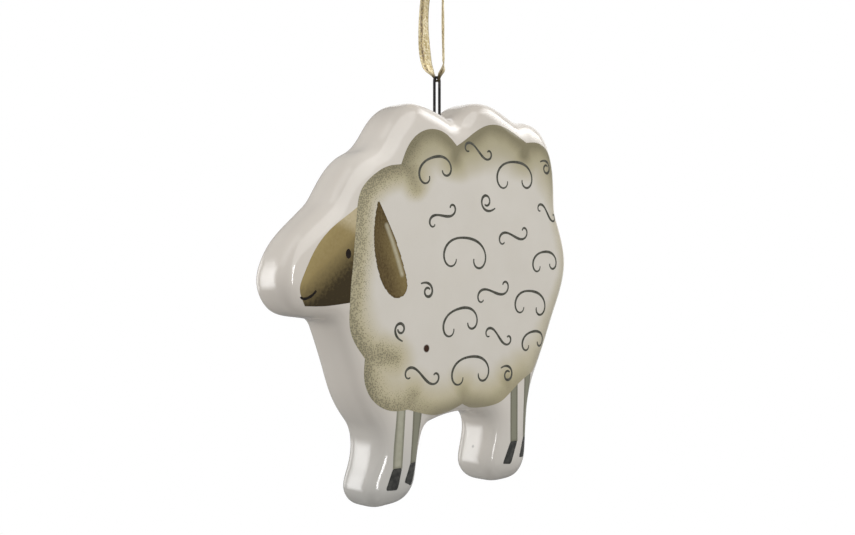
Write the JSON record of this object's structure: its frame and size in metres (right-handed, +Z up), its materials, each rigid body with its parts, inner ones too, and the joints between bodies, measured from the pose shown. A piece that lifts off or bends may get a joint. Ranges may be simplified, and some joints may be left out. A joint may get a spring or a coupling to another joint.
{
  "type": "hanging sheep ornament",
  "caption": "Flat ceramic sheep ornament with a lobed fleece outline and fired colours on its front, hung from a wire hairpin and a flat ribbon loop.",
  "frame": {"origin": "the point that the ribbon loop hangs from, just under its knot", "axes": "+X along the sheep from its head to its rump, -Y is the coloured front face, +Z up; the wire hairpin hangs plumb below the origin"},
  "size_m": [0.077, 0.0131, 0.1168],
  "materials": {
    "white_glaze": "white glaze, high gloss",
    "black_wire": "blackened wire, satin",
    "cement": "rough white cement",
    "fleece_colour": "cream with an olive grey stippled edge, fired enamel, glossy under the same shine as the glaze",
    "head_colour": "khaki tan, fired enamel, glossy under the same shine as the glaze",
    "ear_colour": "stippled brown, fired enamel, glossy under the same shine as the glaze",
    "leg_colour": "olive grey, fired enamel, glossy under the same shine as the glaze",
    "dark_colour": "near black, fired enamel, glossy under the same shine as the glaze",
    "gold_ribbon": "woven cream and gold metallic thread"
  },
  "bodies": {
    "knot": {"ribbon_knot": "gold_ribbon"},
    "ribbon": {"ribbon_loop": "gold_ribbon"},
    "ornament": {"ceramic_body": "white_glaze", "wire_hanger": "black_wire", "hanger_cement": "cement", "fleece_print": "fleece_colour", "head_print": "head_colour", "eye_print": "dark_colour", "ear_print": "ear_colour", "leg_prints": "leg_colour", "hoof_prints": "dark_colour"}
  },
  "joints": [
    {"name": "ribbon_swing", "type": "hinge", "parent": "knot", "child": "ribbon", "pos_m": [0, 0, 0], "axis": [1, 0, 0], "range_deg": [-45, 45]},
    {"name": "ornament_sway", "type": "hinge", "parent": "ribbon", "child": "ornament", "pos_m": [0, 0, -0.0233], "axis": [0, 1, 0], "range_deg": [-45, 45]}
  ]
}
